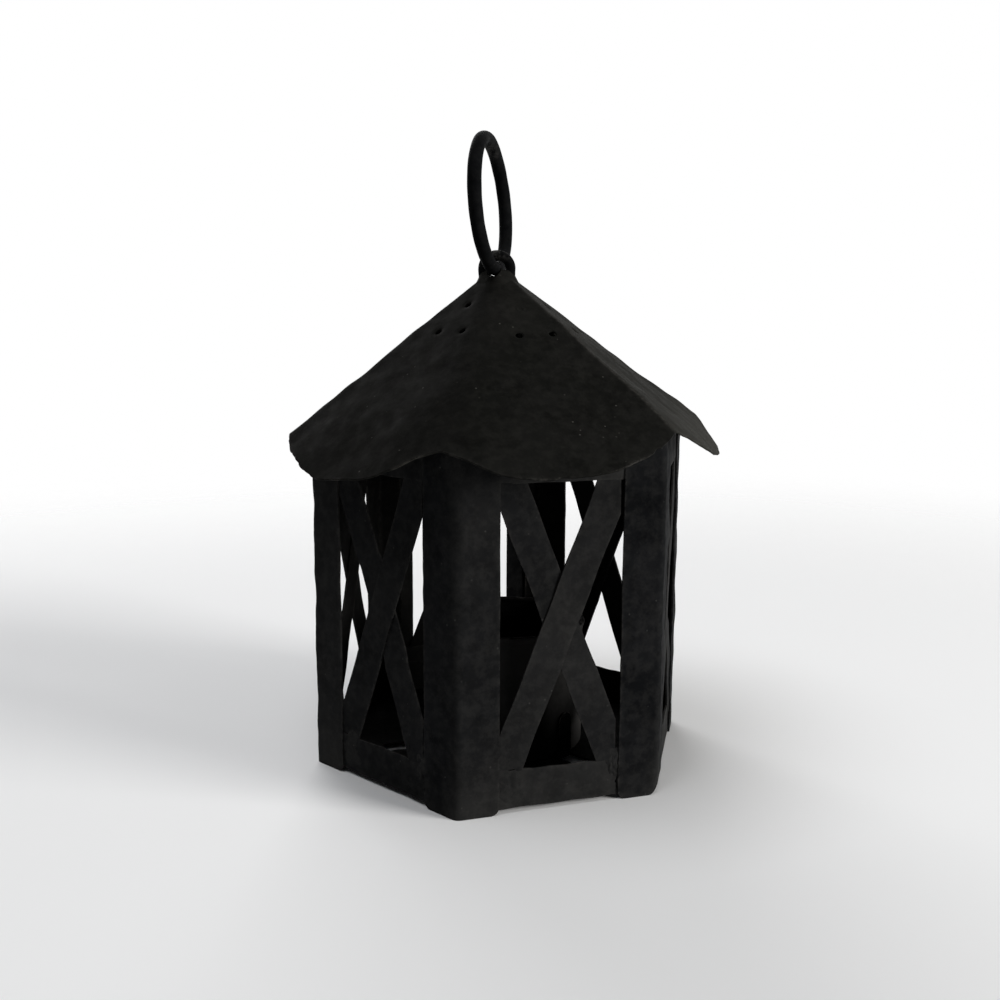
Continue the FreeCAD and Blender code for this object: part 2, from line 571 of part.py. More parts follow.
def door():
    """The rear side on its hinge: two stiles over two rails and two strips."""
    turn = 60 * REAR
    lining = (f"-({HALF_SIDE} - sizes.hinge_flange - sizes.door_side_gap)",
              f"{HALF_SIDE} - sizes.latch_flange - sizes.door_side_gap")
    rail_low = f"({DOOR_FOOT} + sizes.door_rail)"
    rail_high = f"({DOOR_TOP} - sizes.door_rail)"
    made = [box("door_bottom_rail", lining, DOOR_LINING, (DOOR_FOOT, rail_low), turn),
            box("door_top_rail", lining, DOOR_LINING, (rail_high, DOOR_TOP), turn),
            box("door_latch_stile", (STILE_INNER, DOOR_LATCH_X), DOOR_SKIN, (DOOR_FOOT, DOOR_TOP), turn)]
    made += diagonals("door", DOOR_LINING[0], rail_low, rail_high, lining[1], turn)
    clear = "(sizes.lug_height + sizes.lug_gap)"
    low = f"{DOOR_FOOT} + {clear}"
    high = f"{DOOR_TOP} - {clear}"
    shoulder = f"({HINGE_X} - sizes.lug_foot - sizes.stile_cut)"
    flat = box("door_hinge_stile_flat", (f"-{shoulder}", f"-{STILE_INNER}"), DOOR_SKIN,
               (DOOR_FOOT, DOOR_TOP), turn)
    neck = box("door_hinge_stile_neck", (f"-{HINGE_X}", f"-{shoulder}"), DOOR_SKIN, (low, high), turn)
    roll = upright("door_hinge_stile_roll", f"-{HINGE_X}", f"-{HINGE_Y}", low, high, ROLL_RADIUS, turn)
    bore = upright("door_hinge_stile_bore", f"-{HINGE_X}", f"-{HINGE_Y}", DOOR_FOOT, DOOR_TOP,
                   "sizes.pin_radius + sizes.pin_fit", turn)
    solid = fused("door_hinge_stile_solid", [flat, neck, roll])
    return made + [joined("Cut", "door_hinge_stile", solid, bore)]


def hinge():
    """The wire that the door turns on, and the two lugs that hold its ends."""
    turn = 60 * REAR
    pin = upright("hinge_pin", f"-{HINGE_X}", f"-{HINGE_Y}", DOOR_FOOT, DOOR_TOP, "sizes.pin_radius", turn)
    made = [pin]
    for name, low in (("lower", DOOR_FOOT), ("upper", f"{DOOR_TOP} - sizes.lug_height")):
        high = f"{low} + sizes.lug_height"
        roll = upright(f"hinge_lug_{name}_roll", f"-{HINGE_X}", f"-{HINGE_Y}", low, high,
                       f"{HINGE_Y} - {APOTHEM}", turn)
        foot = box(f"hinge_lug_{name}_foot",
                   (f"-({HINGE_X} + sizes.lug_foot)", f"-({HINGE_X} - sizes.lug_foot)"),
                   (f"-({APOTHEM} + sizes.tin)", f"-{APOTHEM}"), (low, high), turn)
        bore = upright(f"hinge_lug_{name}_bore", f"-{HINGE_X}", f"-{HINGE_Y}", low, high,
                       "sizes.pin_radius", turn)
        solid = fused(f"hinge_lug_{name}_solid", [roll, foot])
        made.append(joined("Cut", f"hinge_lug_{name}", solid, bore))
    return made


def latch():
    """A turn button on a collared rivet in the latch post."""
    turn = 60 * REAR
    seat = f"({APOTHEM} + sizes.door_gap + sizes.tin)"
    thick = "(2 * sizes.tin)"
    half = "sizes.button_width / 2"
    reach = "(sizes.button_length - sizes.button_width)"
    inner = f"-({seat} + sizes.button_gap)"
    outer = f"({seat} + 2 * sizes.button_gap + {thick})"
    height = "sizes.latch_height"
    back = f"({APOTHEM} - sizes.tin - sizes.rivet_head)"
    parts = [rod("latch_rivet_back", BUTTON_X, f"-{back}", height, "sizes.rivet_collar",
                 "sizes.rivet_head", turn),
             rod("latch_rivet_shank", BUTTON_X, f"-{back}", height, "sizes.rivet_radius",
                 f"{outer} - {back}", turn),
             rod("latch_rivet_collar", BUTTON_X, f"-{APOTHEM}", height, "sizes.rivet_collar",
                 f"{seat} - {APOTHEM}", turn),
             rod("latch_rivet_head", BUTTON_X, f"-{outer}", height, "sizes.rivet_collar",
                 "sizes.rivet_head", turn)]
    rivet = fused("latch_rivet", parts)
    top = rod("turn_button_top", BUTTON_X, inner, height, half, thick, turn)
    tip = rod("turn_button_tip", BUTTON_X, inner, f"{height} - {reach}", half, thick, turn)
    blade = box("turn_button_blade", (f"{BUTTON_X} - {half}", f"{BUTTON_X} + {half}"),
                (f"{inner} - {thick}", inner), (f"{height} - {reach}", height), turn)
    bore = rod("turn_button_bore", BUTTON_X, inner, height, "sizes.rivet_radius + sizes.button_fit",
               thick, turn)
    button = joined("Cut", "turn_button", fused("turn_button_solid", [top, blade, tip]), bore)
    return [rivet, button]


hollow = roof_hollow()
nodes = [floor_plate(), candle_cup()]
for place, post_name in enumerate(POSTS):
    if place == REAR + 1:
        blank = corner_post(place, hollow, "_undrilled")
        nodes.append(drilled_post(f"{post_name}_post", blank))
    else:
        nodes.append(corner_post(place, hollow))
nodes += rails(hollow)
for place, side_name in enumerate(SIDES):
    if place != REAR:
        nodes += diagonals(side_name, PANEL[0], RAIL_TOP, TOP_RAIL_FOOT, STRIP_END, 60 * place)
nodes += door() + hinge() + latch() + [roof(), hanging_eye(), hanging_ring()]
doc.recompute()

for item in doc.Objects:
    if "Invalid" in item.State or "Error" in item.State:
        raise RuntimeError(f"{item.Label} failed: {item.State}")
os.makedirs("parts", exist_ok=True)
for item in nodes:
    item.Label = item.Name
    if item.Shape.isNull() or not item.Shape.isValid() or len(item.Shape.Solids) != 1:
        raise RuntimeError(f"{item.Label} is not one valid solid")
for item in nodes:
    item.Shape.exportStep(f"parts/{item.Label}.step")
    print(item.Label, round(item.Shape.Volume, 1))
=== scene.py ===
import json
import math

import bpy
import numpy as np
from mathutils import Matrix, Vector


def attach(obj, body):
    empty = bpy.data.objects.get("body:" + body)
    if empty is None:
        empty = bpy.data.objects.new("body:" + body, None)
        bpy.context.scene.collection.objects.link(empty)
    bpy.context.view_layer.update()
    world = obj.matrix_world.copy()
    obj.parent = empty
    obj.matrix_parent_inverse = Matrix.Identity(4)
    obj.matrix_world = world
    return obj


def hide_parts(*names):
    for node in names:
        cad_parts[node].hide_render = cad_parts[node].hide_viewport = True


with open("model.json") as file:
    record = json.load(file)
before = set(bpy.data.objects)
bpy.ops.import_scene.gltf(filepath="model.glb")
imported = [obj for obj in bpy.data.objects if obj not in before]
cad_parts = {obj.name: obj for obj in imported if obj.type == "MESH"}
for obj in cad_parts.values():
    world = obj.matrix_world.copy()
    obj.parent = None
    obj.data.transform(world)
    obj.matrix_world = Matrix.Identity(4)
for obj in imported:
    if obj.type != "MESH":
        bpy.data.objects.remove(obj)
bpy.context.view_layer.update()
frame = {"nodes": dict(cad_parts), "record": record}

# Six-sided tin lantern: the visual model. Shapes are worked out in millimetres and written in metres.

MM = 0.001
TIN = 0.6
CORNER = 65.0
FLANGE = 13.35
HINGE_FLANGE = 6.0
LATCH_FLANGE = 8.6
FOOT_ROUND = 2.6
RAIL_FOOT = 1.5
RAIL_TOP = 13.35
RAIL_INSET = 3.6
TOP_RAIL = 15.1
LINTEL = 22.7
DOOR_LAP = 3.0
DOOR_GAP = 0.3
DOOR_RAIL = 9.0
DOOR_SIDE_GAP = 0.4
LATCH_LAP = 2.2
STRIP = 10.4
STRIP_LEAN = math.radians(21.4)
CROSSING = 57.8
STRIP_GAP = 1.0
JOGGLE_RUN = 4.0
JOGGLE_MARGIN = 0.8
FLOOR_TOP = 2.1
CUP_RADIUS = 27.0
CUP_HEIGHT = 42.0
CUP_ROLL = 0.9
TONGUE_WIDTH = 6.0
TONGUE_HEIGHT = 15.0
TONGUE_GAP = 0.1
PITCH = math.radians(40.3)
APEX = 163.2
NOTCH = 70.35
LOBE = 74.0
POINT_HOLE = 6.1
VENT = 1.2
EYE_WIRE = 1.4
EYE_ARCH = 4.6
EYE_DROP = 1.45
EYE_BEND = 3.0
EYE_FOOT = 10.0
EYE_SEAT = 0.1
RING_WIRE = 2.25
RING_RADIUS = 20.4
RING_ASIDE = 0.6
RING_LIFT = 0.4
WIRE_SIDES = 26

# About the height of a post, for its unevenness; its real top follows the roof.
POST_HEIGHT = 115

APOTHEM = CORNER * math.cos(math.radians(30))
HALF_SIDE = CORNER / 2
EAVES = APEX - APOTHEM * math.tan(PITCH) - TIN / math.cos(PITCH)
DOOR_TOP = EAVES - LINTEL + DOOR_LAP
DOOR_FOOT = RAIL_TOP - DOOR_LAP
SIDES = ["front", "front_right", "rear_right", "rear", "rear_left", "front_left"]
POSTS = ["front_left", "front_right", "right", "rear_right", "rear_left", "left"]
REAR = SIDES.index("rear")
SIDE_FACE = APOTHEM - TIN
DOOR_FACE = APOTHEM + DOOR_GAP
STRIP_LAP = 0.3
CRACK_AT = HALF_SIDE - FLANGE - 0.4

# Directions about the axis: of the facets, in radians, and of the ridge over the near post, in degrees.
FACET_ANGLES = np.radians(-90 + 60 * np.arange(6))
NEAR_RIDGE = -120

# How much each lobe falls short of LOBE, and the marks on the edge: height in millimetres, then place and
# width in degrees.
LOBE_SHORT = (0.0, 2.6, 0.5, 0.0, 0.4, 0.0)
NICKS = ((0.5, 316, 1.0), (0.5, 52, 0.9), (0.3, 27, 1.3))
BENT_OUT = ((1.6, 14, 8), (1.5, 346, 8))
BENT_IN = ((2.1, 288, 11), (0.85, 313, 8))

# Solder at both ends of a bottom rail: middle across and up, half width, half height, thickness.
SOLDER = {"left": (-16.4, 9.2, 5.4, 4.4, 0.24), "right": (17.6, 12.4, 2.6, 4.8, 0.34)}

LAMP_DISTANCE = 1.6
LAMP_AIM = 0.08

# The camera fitted to the posts: degrees, millimetres, and the focal length in widths of the sensor.
CAMERA_TURN = 17.71
CAMERA_ROLL = 0.28
CAMERA_PITCH = 9.42
CAMERA_PAN = 0.25
CAMERA_DISTANCE = 365.5
CAMERA_HEIGHT = 146.0
SENSOR = 36
FOCAL = 1.0947


def spin(axis, degrees):
    """A 4 x 4 turn about X, Y or Z."""
    return np.array(Matrix.Rotation(math.radians(degrees), 4, axis))


def move(x=0.0, y=0.0, z=0.0):
    """A 4 x 4 shift."""
    return np.array(Matrix.Translation((x, y, z)))


def put(matrix, points):
    """Points carried through a 4 x 4 matrix."""
    return points @ matrix[:3, :3].T + matrix[:3, 3]


def smooth(value):
    """3 t^2 - 2 t^3 of the value held between 0 and 1."""
    t = np.clip(value, 0, 1)
    return t * t * (3 - 2 * t)


def bump(value):
    """exp(-value^2)."""
    return np.exp(-value * value)


def ripple(seed, size, *along):
    """Unevenness of about one unit: a sum of seeded sines whose wavelengths lie round a size."""
    random = np.random.default_rng(seed)
    waves = 7
    total = 0.0
    for _ in range(waves):
        way = random.normal(size=len(along))
        way *= 2 * math.pi / size * random.uniform(0.6, 1.7) / np.linalg.norm(way)
        total = total + np.sin(sum(w * c for w, c in zip(way, along)) + random.uniform(0, 2 * math.pi))
    return total / math.sqrt(waves / 2)


def clustered(count):
    """Steps from 0 to 1, closer at both ends: (1 - cos(pi t)) / 2."""
    return (1 - np.cos(np.linspace(0, math.pi, count))) / 2


# The roof leans about a point under it, stands a little off the axis and is turned about it.
LEAN_ANGLE = 2.8
LEAN_WAY = 120
LEAN_HEIGHT = 115.4
ROOF_TURN = -1.5
EYE_TURN = 150
LEAN = (move(-1.3, 0.4, LEAN_HEIGHT) @ spin("Z", LEAN_WAY) @ spin("Y", LEAN_ANGLE)
        @ spin("Z", -LEAN_WAY) @ move(z=APEX - LEAN_HEIGHT))
ROOF = LEAN @ spin("Z", ROOF_TURN)
ROOF_BACK = np.linalg.inv(ROOF)
EYE_FRAME = LEAN @ spin("Z", EYE_TURN + ROOF_TURN)


def surface(name, points, keep=None, round_way=False, loop=False, poles=None, flip=False,
            wear=0.0, tone=0.0):
    """A mesh through a grid of points, rows by columns: closed across, along, or by two poles. It carries
    how worn and how dusty each point is; on some pieces the wear also holds a painted glint, and the tone
    holds painted light and painted shade."""
    rows, columns = points.shape[:2]
    index = np.arange(rows * columns).reshape(rows, columns)
    if loop:
        index = np.vstack([index, index[:1]])
    if round_way:
        index = np.hstack([index, index[:, :1]])
    quads = np.stack([index[:-1, :-1], index[:-1, 1:], index[1:, 1:], index[1:, :-1]], -1)
    quads = quads.reshape(-1, 4) if keep is None else quads[keep]
    corners = points.reshape(-1, 3)
    values = np.stack([np.broadcast_to(v, (rows, columns)).reshape(-1) for v in (wear, tone)])
    used, quads = np.unique(quads, return_inverse=True)
    quads = quads.reshape(-1, 4)
    corners, values = corners[used], values[:, used]
    triangles = np.zeros((0, 3), int)
    if poles is not None:
        count = len(corners)
        corners = np.vstack([corners, poles])
        values = np.hstack([values, np.zeros((2, 2))])
        low, high = index[0], index[-1]
        first = np.stack([np.full(len(low) - 1, count), low[1:], low[:-1]], -1)
        last = np.stack([high[:-1], high[1:], np.full(len(high) - 1, count + 1)], -1)
        triangles = np.vstack([first, last])
    if flip:
        quads, triangles = quads[:, ::-1], triangles[:, ::-1]
    mesh = bpy.data.meshes.new(name)
    mesh.from_pydata((corners * MM).tolist(), [], quads.tolist() + triangles.tolist())
    mesh.polygons.foreach_set("use_smooth", np.ones(len(mesh.polygons), bool))
    for key, value in zip(("wear", "tone"), values.astype(np.float32)):
        mesh.attributes.new(key, "FLOAT", "POINT").data.foreach_set("value", value)
    mesh.update()
    item = bpy.data.objects.new(name, mesh)
    bpy.context.scene.collection.objects.link(item)
    return item


def sheet(item, soft=0.14):
    """Give a surface the thickness of the tin, inwards, with softened edges."""
    solid = item.modifiers.new("tin", "SOLIDIFY")
    solid.thickness = TIN * MM
    solid.offset = -1
    solid.material_offset = 1
    if soft:
        edges = item.modifiers.new("edges", "BEVEL")
        edges.width = soft * MM
        edges.segments = 2
        edges.limit_method = "ANGLE"
        edges.angle_limit = math.radians(50)
        edges.harden_normals = True
    return item


def own(item, body, *nodes):
    """Tie a piece to its body, its slot and the nodes it stands for."""
    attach(item, body)
    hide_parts(*nodes)
    item.data.materials.append(PAINT[SLOT[nodes[0]]])
    if item.modifiers:
        item.data.materials.append(PAINT["inside_paint"])
    return item


def facet_reach(x, y):
    """How far points lie from the axis along each of the six facets' directions."""
    return x[..., None] * np.cos(FACET_ANGLES) + y[..., None] * np.sin(FACET_ANGLES)


def roof_height(x, y):
    """The roof's outer face under its own point: z = -tan(pitch) m, where m joins the two nearest facets'
    distances a >= b as a + w ln(1 + exp(-(a - b) / w)); w is wide on the ridge over the near post. The
    right facet droops towards its edge, and the sheet is a little uneven."""
    reach = facet_reach(x, y)
    ordered = np.sort(reach, -1)
    first, second = ordered[..., -1], ordered[..., -2]
    far = np.hypot(x, y)
    from_ridge = np.degrees(np.arctan2(y, x)) - NEAR_RIDGE
    soft = 0.35 + 0.062 * far * bump(from_ridge / 26)
    height = -math.tan(PITCH) * (first + soft * np.log1p(np.exp(-(first - second) / soft)))
    right = reach[..., 1] - first + 1
    height -= 2.4 * smooth((reach[..., 1] - 61) / 14) * np.clip(right, 0, 1)
    grown = smooth(far / 40)
    height += grown * (0.22 * ripple(11, 34, x, y) + 0.08 * ripple(12, 11, x, y))
    return height


def under_roof(x, y):
    """Heights just inside the roof's sheet over points of the lantern: steps of z -= z' - roof(x', y')."""
    depth = TIN / math.cos(PITCH) * 0.8
    points = np.stack([x, y, np.full(x.shape, EAVES)], -1)
    for _ in range(10):
        local = put(ROOF_BACK, points)
        points[..., 2] -= local[..., 2] - roof_height(local[..., 0], local[..., 1])
    return points[..., 2] - depth


def lobe_edge(place, angle):
    """Distance along a facet's fall line, seen from above, to its scalloped edge: the ray at an angle meets
    an arc through the notches and the lobe's tip in the facet's plane."""
    half = NOTCH * math.sin(math.radians(30))
    flat = NOTCH * math.cos(math.radians(30)) / math.cos(PITCH)
    tips = (LOBE - np.array(LOBE_SHORT))[place] / math.cos(PITCH)
    rise = tips - flat
    radius = (half ** 2 + rise ** 2) / (2 * rise)
    centre = tips - radius
    across = math.cos(PITCH) * np.tan(angle)
    up = 1 / np.hypot(across, 1)
    run = centre * up + np.sqrt(radius ** 2 - centre ** 2 * (1 - up ** 2))
    return run * up * math.cos(PITCH)


# Three vents of a facet, across and down it, and how far two facets' vents are shifted, as against the rest.
VENT_PATTERN = ((-1.7, 21.4), (-5.4, 34.3), (5.4, 34.3))
VENT_SHIFTS = {0: (4.1, 1.6), 5: (3.1, -1.7)}
VENT_SHIFT = (2.4, 0.0)


def vent_centres():
    """Place, distance across and distance down from above of each vent, and whether it is open: all but the
    highest one of the front facet, which is only struck."""
    found = []
    for place in range(6):
        side, slip = VENT_SHIFTS.get(place, VENT_SHIFT)
        for number, (across, down) in enumerate(VENT_PATTERN):
            is_open = (place, number) != (0, 0)
            found.append((place, side + across, (down + slip) * math.cos(PITCH), is_open))
    return found


def beside(faces):
    """The grid points that touch any marked face of a grid closed across."""
    wide = faces | np.roll(faces, 1, axis=1)
    marked = np.zeros((faces.shape[0] + 1, faces.shape[1]), bool)
    marked[:-1] |= wide
    marked[1:] |= wide
    return marked


def marks(turn, places):
    """Bumps along the roof's edge, added up: height exp(-((turn - place) / width)^2)."""
    return sum(height * bump((turn - place) / width) for height, place, width in places)


def roof():
    """The folded roof: 360 columns round its point by 111 rows from the hole to the scalloped edge."""
    turn = np.arange(360.0)
    place = (turn // 60).astype(int)
    angle = np.radians(turn - 60 * place - 30)
    edge = lobe_edge(place, angle) / np.cos(angle)
    bent = marks(turn, BENT_OUT) - marks(turn, BENT_IN)
    edge = edge - marks(turn, NICKS) + bent + 0.1 * ripple(21, 11, turn) + 0.04 * ripple(22, 4, turn)
    inner = POINT_HOLE + 0.45 * np.arange(60)
    t = np.linspace(0, 1, 52)[1:]
    outer = inner[-1] + (1 - (1 - t[:, None]) ** 1.5) * (edge - inner[-1])
    far = np.vstack([np.repeat(inner[:, None], 360, 1), outer])
    heading = np.radians(turn + NEAR_RIDGE)
    x, y = far * np.cos(heading), far * np.sin(heading)
    keep = np.ones((len(far) - 1, 360), bool)
    dimple = np.zeros_like(x)
    for side, across0, down0, is_open in vent_centres():
        c, s = math.cos(math.radians(60 * side)), math.sin(math.radians(60 * side))
        across, down = x * c + y * s - across0, (x * s - y * c - down0) / math.cos(PITCH)
        away = np.hypot(across, down)
        ring = (away + np.roll(away, -1, 1))[:-1] + (away + np.roll(away, -1, 1))[1:]
        hole = ring / 4 < VENT if is_open else np.zeros_like(keep)
        keep &= ~hole
        border = beside(hole) & beside(~hole)
        scale = np.where(border, VENT / np.maximum(away, 0.01), 1)
        across, down = across * scale + across0, down * scale * math.cos(PITCH) + down0
        x = np.where(border, across * c + down * s, x)
        y = np.where(border, across * s - down * c, y)
        dimple -= 0.3 * bump(np.maximum(away - VENT, 0) / 0.9)
        if not is_open:
            dimple += 0.34 * bump((away - VENT) / 0.35)
    z = roof_height(x, y) + dimple
    ordered = np.sort(facet_reach(x, y), -1)
    fold = np.exp(-(ordered[..., -1] - ordered[..., -2]) / 0.5)
    fold = fold * (1 - bump(turn / 14) - bump((turn - 360) / 14))
    rim = np.exp(-(edge - np.hypot(x, y)) / 0.3)
    points = put(ROOF, np.stack([x, y, z], -1))
    wear = np.clip((0.3 + 0.25 * ripple(23, 24, turn)) * rim + 0.5 * fold * smooth(far / 30), 0, 1)
    # Painted reflection: the right facet (place 1) is made paler towards the dust colour, most towards its
    # edge, for the light it reflects.
    reach = far * np.cos(angle)
    right = 0.17 + 0.32 * smooth((reach - 50) / 18)
    tone = np.where(place == 1, right, np.where(place == 5, 0.02, 0.0))
    tone = tone + 0.09 * bump((far - 17) / 9) * bump((turn - 26) / 22)
    item = surface("roof_sheet", points, keep=keep, round_way=True, flip=True, wear=wear, tone=tone)
    return sheet(item, soft=0)


def post(place):
    """A corner post: two flanges and a soft fold of radius b(z), sharper towards the foot. In the fold the
    outer face is (b sin a, -R + b / cos 30 - b cos a); on a flange d from the fold it is
    (d cos 30, -R + d sin 30)."""
    left = LATCH_FLANGE if place == REAR + 1 else FLANGE
    right = HINGE_FLANGE if place == REAR else FLANGE
    flank, fold = 30, 17
    c30, s30, t30 = math.cos(math.radians(30)), 0.5, math.tan(math.radians(30))
    rows = clustered(120)[:, None]
    tall = rows * POST_HEIGHT
    high = smooth((tall - 10) / 95)
    b = 3.0 + (3.3 if place == 0 else 0.6) * high + 0.25 * ripple(40 + place, 45, tall)
    u = clustered(flank + 1)[None]
    torn = 0.12 * bump((tall - 9) / 7) * ripple(90 + place, 4.5, tall)
    d_left = b * t30 + (left + torn - b * t30) * u[:, :0:-1]
    d_right = b * t30 + (right + torn - b * t30) * u[:, 1:]
    across = np.linspace(-30, 30, fold)
    a = np.radians(across)[None]
    x = np.hstack([-d_left * c30, b * np.sin(a), d_right * c30])
    y = np.hstack([-CORNER + d_left * s30, -CORNER + b / c30 - b * np.cos(a), -CORNER + d_right * s30])
    way = np.radians(np.hstack([np.full(flank, -30), across, np.full(flank, 30)]))[None]
    reach = np.hstack([d_left, 0 * a * b, d_right])
    half = fold // 2
    width = np.hstack([np.full(flank + half, left), np.full(flank + fold - half, right)])[None]
    corner = np.clip(reach - (width - FOOT_ROUND), 0, FOOT_ROUND)
    low = FOOT_ROUND - np.sqrt(np.maximum(FOOT_ROUND ** 2 - corner ** 2, 0))
    if place == 1:
        low = low + (3.0 - 0.4 * low) * smooth((x + 2.6) / 4.2)
    turn = spin("Z", 60 * place - 30)
    flat = put(turn, np.stack([x, y, 0 * x], -1))
    top = under_roof(flat[..., 0], flat[..., 1])
    z = low + (top - low) * rows
    run = x + 0 * z
    dent = 0.10 * ripple(60 + place, 26, run, z) + 0.05 * ripple(80 + place, 9, run, z)
    dent = dent * smooth(z / 6)
    x, y = x + dent * np.sin(way), y - dent * np.cos(way)
    rim = np.exp(-(width - reach) / 0.5) + np.exp(-z / 0.9)
    rim = rim + 0.22 * bump(np.degrees(way) / 16) * (reach == 0)
    points = put(turn, np.stack([x, y, z], -1))
    # Painted light: the fold and right flange of each post, on the side of the key light, are made paler.
    # This is strongest near the foot and, on the near post, also towards its top. The last term is a little
    # dust round the foot.
    pale = [0.07 + 0.12 * smooth((z - 50) / 40), 0.0, 0.05, 0.05, 0.05, 0.05][place]
    tone = (pale + 0.2 * bump((z - 4) / 14)) * smooth((x + 6) / 8) + 0.06 * bump(z / 10)
    tone = tone + (0.13 if place == 5 else 0)
    return sheet(surface(f"{POSTS[place]}_corner_post", points, wear=np.clip(rim, 0, 1), tone=tone))


def flat_sheet(name, place, across, near, low, high, seed, split=None):
    """An upright sheet of a side: across its width, at a distance from the axis, between two heights or up
    to the roof where high is None. Where split is given, an uneven crack opens there from the top edge
    down."""
    u = clustered(73)[None]
    t = clustered(31)[:, None]
    x = across[0] + (across[1] - across[0]) * u + 0 * t
    y = np.full(x.shape, -near)
    turn = spin("Z", 60 * place)
    flat = put(turn, np.stack([x, y, 0 * x], -1))
    top = under_roof(flat[..., 0], flat[..., 1]) if high is None else high + 0.12 * ripple(seed, 17, x)
    z = low + 0.06 * ripple(seed + 1, 15, x) + (top - low) * t
    y = y - 0.09 * ripple(seed + 2, 21, x, z)
    rim = np.exp(-np.minimum(z - low, np.abs(top - z)) / 0.45)
    # Dust tone along the sheet, more near its ends. On the front left side (place 5), away from the key
    # light, it is cut to a quarter: painted shade.
    tone = (0.32 + 0.16 * bump((x + 22) / 8) + 0.1 * bump((x - 24) / 8)) * (0.25 if place == 5 else 1)
    keep = np.ones((x.shape[0] - 1, x.shape[1] - 1), bool)
    if split:
        column = int(np.argmin(np.abs(x[0] - split)))
        height = z[:, column]
        wide = smooth((height - 3.2) / 1.6)
        x[:, column] = split - wide * (0.25 + 0.14 * ripple(seed + 3, 2.4, height))
        x[:, column + 1] = split + 0.3 + 0.1 * wide * ripple(seed + 4, 1.9, height)
        keep[:, column] = wide[1:] < 0.05
    points = put(turn, np.stack([x, y, z], -1))
    return sheet(surface(name, points, keep=keep, wear=np.clip(rim, 0, 1), tone=tone))


def strip(name, place, lean, near, foot, top, end, seed):
    """A diagonal strip: its centre line is x = lean tan(a) (z - crossing), cut off upright at x = end; the
    back one (lean -1) steps inwards by one thickness where |s| along it is under the crossing's half
    length; the front one (lean 1) is raised at its foot's outer corner, by less than 1 mm times
    (1 - t)^6, which leaves a crack."""
    t = np.linspace(0, 1, 150)[:, None]
    u = clustered(23)[None]
    z = foot + (top - foot) * t
    half = STRIP / 2 / math.cos(STRIP_LEAN)
    middle = lean * math.tan(STRIP_LEAN) * (z - CROSSING) + 0.1 * ripple(seed, 40, z)
    low, high = middle - half, np.minimum(middle + half, end)
    x = low + (high - low) * u
    z = z + 0 * x
    if lean > 0:
        z = z + (1 - t) ** 6 * smooth((-13.2 - x) / 1.4) * (0.75 + 0.2 * ripple(seed + 2, 2.6, x))
    s = lean * math.sin(STRIP_LEAN) * x + math.cos(STRIP_LEAN) * (z - CROSSING)
    flat = STRIP / 2 * (1 / math.sin(2 * STRIP_LEAN) + 1 / math.tan(2 * STRIP_LEAN)) + JOGGLE_MARGIN
    behind = TIN * (1 - smooth((np.abs(s) - flat) / JOGGLE_RUN)) if lean < 0 else 0
    y = -near + behind - 0.08 * ripple(seed + 1, 24, x, z)
    rim = np.exp(-np.minimum(x - low, high - x) * math.cos(STRIP_LEAN) / 0.4)
    points = put(spin("Z", 60 * place), np.stack([x, y, z], -1))
    tone = 0.18 + 0.16 * bump((s - 4) / 14) if lean > 0 else 0.10 + 0.16 * bump((s + 16) / 14)
    # On the front left side (place 5), away from the key light, the dust tone is cut: painted shade.
    tone = tone * (0.4 if place == 5 else 1)
    return sheet(surface(name, points, wear=np.clip(rim, 0, 1), tone=tone))


def cup():
    """The candle cup, turned about the axis: its base, wall, rolled rim, inner wall and floor, with the
    radius off round by a tenth or so. Dust lies on its first rows, up to the outer side of the rim."""
    outer_rows = 80
    inside, roll, rim = CUP_RADIUS - TIN, CUP_RADIUS - TIN / 2, FLOOR_TOP + CUP_HEIGHT
    bend = np.radians(np.linspace(-60, 240, 26))
    base = np.radians(np.linspace(-90, 0, 9))
    pieces = [np.stack([np.linspace(4, CUP_RADIUS - 1.2, 16), np.full(16, FLOOR_TOP)], -1),
              np.stack([CUP_RADIUS - 0.8 + 0.8 * np.cos(base), FLOOR_TOP + 0.8 + 0.8 * np.sin(base)], -1),
              np.stack([np.full(46, CUP_RADIUS), np.linspace(FLOOR_TOP + 1.2, rim - 1.3, 46)], -1),
              np.stack([roll + CUP_ROLL * np.cos(bend), rim + CUP_ROLL * np.sin(bend)], -1),
              np.stack([np.full(46, inside), np.linspace(rim - 1.3, FLOOR_TOP + TIN + 0.5, 46)], -1),
              np.stack([np.linspace(inside - 0.5, 4, 16), np.full(16, FLOOR_TOP + TIN)], -1)]
    profile = np.vstack(pieces)
    round_ = np.radians(np.arange(0, 360, 2.5))
    z = profile[:, 1:]
    where = (40 * np.cos(round_)[None], 40 * np.sin(round_)[None], z)
    off = smooth((z - 6) / 38) * (0.16 * ripple(31, 70, *where) + 0.05 * ripple(32, 16, *where))
    radius = profile[:, :1] + off
    points = np.stack([radius * np.cos(round_), radius * np.sin(round_), z + 0 * radius], -1)
    poles = [[0, 0, FLOOR_TOP], [0, 0, FLOOR_TOP + TIN]]
    wear = 0.7 * bump((z - rim - CUP_ROLL) / 0.5) + 0 * radius
    tone = smooth((radius - 20) / 6.9) * (np.arange(len(profile))[:, None] < outer_rows)
    return surface("cup_shell", points, round_way=True, poles=poles, wear=wear, tone=tone)


